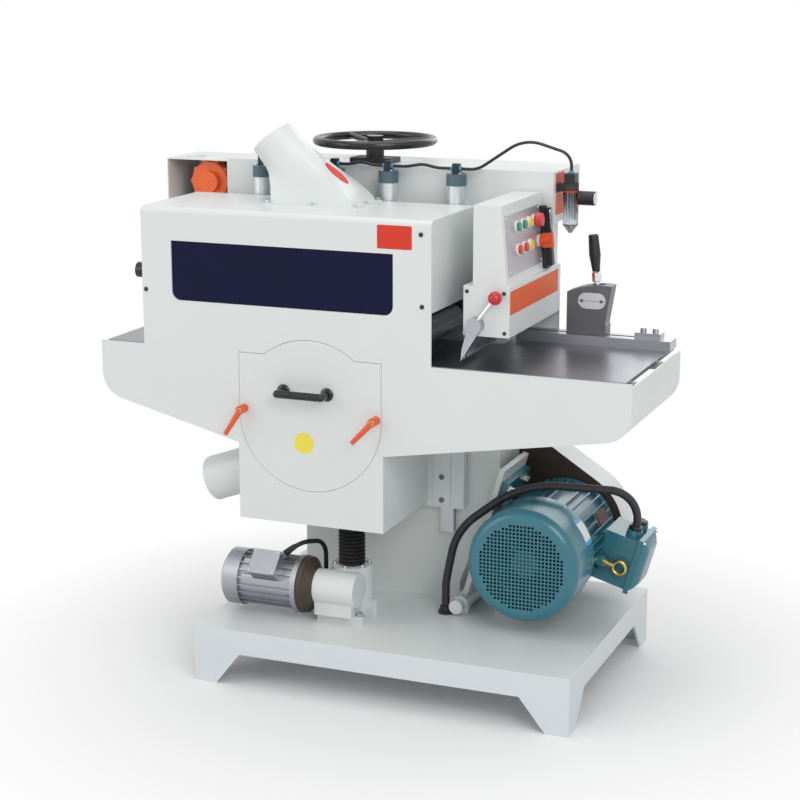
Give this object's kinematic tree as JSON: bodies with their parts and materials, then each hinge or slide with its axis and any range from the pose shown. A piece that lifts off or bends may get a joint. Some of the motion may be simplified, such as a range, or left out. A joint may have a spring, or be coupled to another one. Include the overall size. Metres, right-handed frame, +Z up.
{
  "type": "multi rip saw",
  "caption": "Floor-standing multi-blade rip saw with a rising table, hooded arbor, roller feed head, operator panel and belt-driven motor.",
  "frame": {"origin": "on the floor under the middle of the base", "axes": "+X along the feed towards the in-feed end, +Y from the operator's front panel to the back, +Z up"},
  "size_m": [1.447, 0.724, 1.4169],
  "materials": {
    "paint": "satin",
    "base_paint": "satin",
    "motor_paint": "satin",
    "reducer_paint": "satin",
    "table_steel": "ground",
    "steel": "ground",
    "cast_iron": "cast",
    "motor_aluminium": "cast",
    "bronze": "machined",
    "window": "clear",
    "black_plastic": "matte",
    "orange_plastic": "gloss",
    "green_plastic": "gloss",
    "red_plastic": "gloss",
    "rubber": "matte"
  },
  "bodies": {
    "frame": {"base_frame": "base_paint", "column": "paint", "column_guides": "steel", "jack_gearbox": "paint", "lift_motor": "motor_aluminium", "lift_motor_cable": "rubber", "main_motor_housing": "motor_paint", "fan_cover": "motor_paint", "main_terminal_box": "motor_paint", "motor_plate": "paint", "motor_hinge": "paint", "main_motor_conduit": "black_plastic", "belt_guard": "paint", "drive_belts": "rubber", "spindle_housing": "cast_iron", "screw_bellows": "rubber"},
    "table": {"table_plate": "table_steel", "front_panel": "paint", "apron_trays": "paint", "lower_box": "paint", "table_saddle": "paint", "hood_shell": "paint", "hood_window": "window", "hood_dust_port": "paint", "fence_rail": "steel", "jack_screw": "steel"},
    "jack_wheel": {"jack_worm_wheel": "bronze"},
    "spindle": {"saw_spindle": "steel", "saw_blades": "steel"},
    "rotor": {"motor_rotor": "steel"},
    "door": {"front_door": "paint"},
    "clamp_left": {"clamp_lever_left": "orange_plastic"},
    "clamp_right": {"clamp_lever_right": "orange_plastic"},
    "carriage": {"fence_carriage": "cast_iron"},
    "carriage_handle": {"fence_handle": "black_plastic"},
    "head": {"feed_beam": "paint", "air_cylinders": "motor_aluminium", "control_box": "paint", "infeed_box": "paint", "filter_regulator": "black_plastic", "air_tubes": "black_plastic", "feed_drive": "paint"},
    "wheel": {"handwheel": "black_plastic"},
    "gate": {"kickback_gate": "steel"},
    "estop": {"emergency_stop": "red_plastic"},
    "selector": {"selector_knob": "orange_plastic"},
    "swing": {"swing_handle": "black_plastic"},
    "knob": {"regulator_knob": "black_plastic"},
    "carrier_1": {"roller_carrier_1": "cast_iron"},
    "roller_1": {"feed_roller_1": "steel"},
    "carrier_2": {"roller_carrier_2": "cast_iron"},
    "roller_2": {"feed_roller_2": "steel"},
    "carrier_3": {"roller_carrier_3": "cast_iron"},
    "roller_3": {"feed_roller_3": "steel"},
    "carrier_4": {"roller_carrier_4": "cast_iron"},
    "roller_4": {"feed_roller_4": "steel"},
    "push_start_button_1": {"start_button_1": "green_plastic"},
    "push_start_button_2": {"start_button_2": "green_plastic"},
    "push_stop_button_1": {"stop_button_1": "red_plastic"},
    "push_stop_button_2": {"stop_button_2": "red_plastic"}
  },
  "joints": [
    {"name": "jack_turn", "type": "hinge", "parent": "frame", "child": "jack_wheel", "pos_m": [-0.165, -0.12, 0.24], "axis": [0, 0, 1], "range_deg": [-3601, 181]},
    {"name": "table_lift", "type": "slide", "parent": "frame", "child": "table", "axis": [0, 0, 1], "range_m": [-0.06, 0.003], "deforming": ["screw_bellows"]},
    {"name": "spindle_spin", "type": "hinge", "parent": "frame", "child": "spindle", "pos_m": [-0.222, 0, 0.705], "axis": [0, 1, 0], "continuous": true},
    {"name": "motor_spin", "type": "hinge", "parent": "frame", "child": "rotor", "pos_m": [0.309, 0, 0.34], "axis": [0, 1, 0], "continuous": true},
    {"name": "door_lift_off", "type": "slide", "parent": "table", "child": "door", "axis": [0, -1, 0], "range_m": [0, 0.15]},
    {"name": "clamp_turn_left", "type": "hinge", "parent": "door", "child": "clamp_left", "pos_m": [-0.404, -0.252, 0.712], "axis": [0, 1, 0], "range_deg": [-60, 60]},
    {"name": "clamp_turn_right", "type": "hinge", "parent": "door", "child": "clamp_right", "pos_m": [-0.04, -0.252, 0.712], "axis": [0, 1, 0], "range_deg": [-60, 60]},
    {"name": "carriage_slide", "type": "slide", "parent": "table", "child": "carriage", "axis": [1, 0, 0], "range_m": [-0.03, 0.06]},
    {"name": "carriage_clamp", "type": "hinge", "parent": "carriage", "child": "carriage_handle", "pos_m": [0.394, 0.189, 0.9971], "axis": [0, 1, 0], "range_deg": [-4, 25]},
    {"name": "handwheel_turn", "type": "hinge", "parent": "head", "child": "wheel", "pos_m": [-0.222, 0.18, 1.36], "axis": [0, 0, 1], "range_deg": [-361, 4321]},
    {"name": "head_lift", "type": "slide", "parent": "frame", "child": "head", "axis": [0, 0, 1], "range_m": [-0.005, 0.06]},
    {"name": "carrier_slide_1", "type": "slide", "parent": "head", "child": "carrier_1", "axis": [0, 0, 1], "range_m": [-0.02, 0.03]},
    {"name": "roller_spin_1", "type": "hinge", "parent": "carrier_1", "child": "roller_1", "pos_m": [-0.509, 0, 0.928], "axis": [0, 1, 0], "continuous": true},
    {"name": "carrier_slide_2", "type": "slide", "parent": "head", "child": "carrier_2", "axis": [0, 0, 1], "range_m": [-0.02, 0.03]},
    {"name": "roller_spin_2", "type": "hinge", "parent": "carrier_2", "child": "roller_2", "pos_m": [-0.347, 0, 0.928], "axis": [0, 1, 0], "continuous": true},
    {"name": "carrier_slide_3", "type": "slide", "parent": "head", "child": "carrier_3", "axis": [0, 0, 1], "range_m": [-0.02, 0.03]},
    {"name": "roller_spin_3", "type": "hinge", "parent": "carrier_3", "child": "roller_3", "pos_m": [-0.097, 0, 0.928], "axis": [0, 1, 0], "continuous": true},
    {"name": "carrier_slide_4", "type": "slide", "parent": "head", "child": "carrier_4", "axis": [0, 0, 1], "range_m": [-0.02, 0.03]},
    {"name": "roller_spin_4", "type": "hinge", "parent": "carrier_4", "child": "roller_4", "pos_m": [0.042, 0, 0.928], "axis": [0, 1, 0], "continuous": true},
    {"name": "kickback_swing", "type": "hinge", "parent": "head", "child": "gate", "pos_m": [0.202, -0.1, 0.962], "axis": [0, 1, 0], "range_deg": [0, 40]},
    {"name": "start_button_1_press", "type": "slide", "parent": "head", "child": "push_start_button_1", "axis": [-0.9962, 0, -0.0872], "range_m": [0, 0.004], "stiffness_N_per_m": 600, "springref_m": -0.003},
    {"name": "start_button_2_press", "type": "slide", "parent": "head", "child": "push_start_button_2", "axis": [-0.9962, 0, -0.0872], "range_m": [0, 0.004], "stiffness_N_per_m": 600, "springref_m": -0.003},
    {"name": "stop_button_1_press", "type": "slide", "parent": "head", "child": "push_stop_button_1", "axis": [-0.9962, 0, -0.0872], "range_m": [0, 0.004], "stiffness_N_per_m": 600, "springref_m": -0.003},
    {"name": "stop_button_2_press", "type": "slide", "parent": "head", "child": "push_stop_button_2", "axis": [-0.9962, 0, -0.0872], "range_m": [0, 0.004], "stiffness_N_per_m": 600, "springref_m": -0.003},
    {"name": "emergency_stop_press", "type": "slide", "parent": "head", "child": "estop", "axis": [-0.9962, 0, -0.0872], "range_m": [0, 0.004], "stiffness_N_per_m": 900, "springref_m": -0.004},
    {"name": "selector_turn", "type": "hinge", "parent": "head", "child": "selector", "pos_m": [0.27103, 0.066, 1.1357], "axis": [0.9962, 0, 0.0872], "range_deg": [-45, 45]},
    {"name": "swing_handle_open", "type": "hinge", "parent": "head", "child": "swing", "pos_m": [0.29653, 0.099, 1.07368], "axis": [0, 1, 0], "range_deg": [0, 35]},
    {"name": "regulator_turn", "type": "hinge", "parent": "head", "child": "knob", "pos_m": [0.348, 0.16, 1.236], "axis": [1, 0, 0], "range_deg": [-180, 180]}
  ],
  "couplings": [
    {"joint": "jack_turn", "follows": "table_lift", "rad_per_m": 1047.2},
    {"joint": "handwheel_turn", "follows": "head_lift", "rad_per_m": 1256.6},
    {"joint": "motor_spin", "follows": "spindle_spin", "ratio": 0.77778},
    {"joint": "roller_spin_2", "follows": "roller_spin_1", "ratio": 1},
    {"joint": "roller_spin_3", "follows": "roller_spin_1", "ratio": 1},
    {"joint": "roller_spin_4", "follows": "roller_spin_1", "ratio": 1}
  ]
}
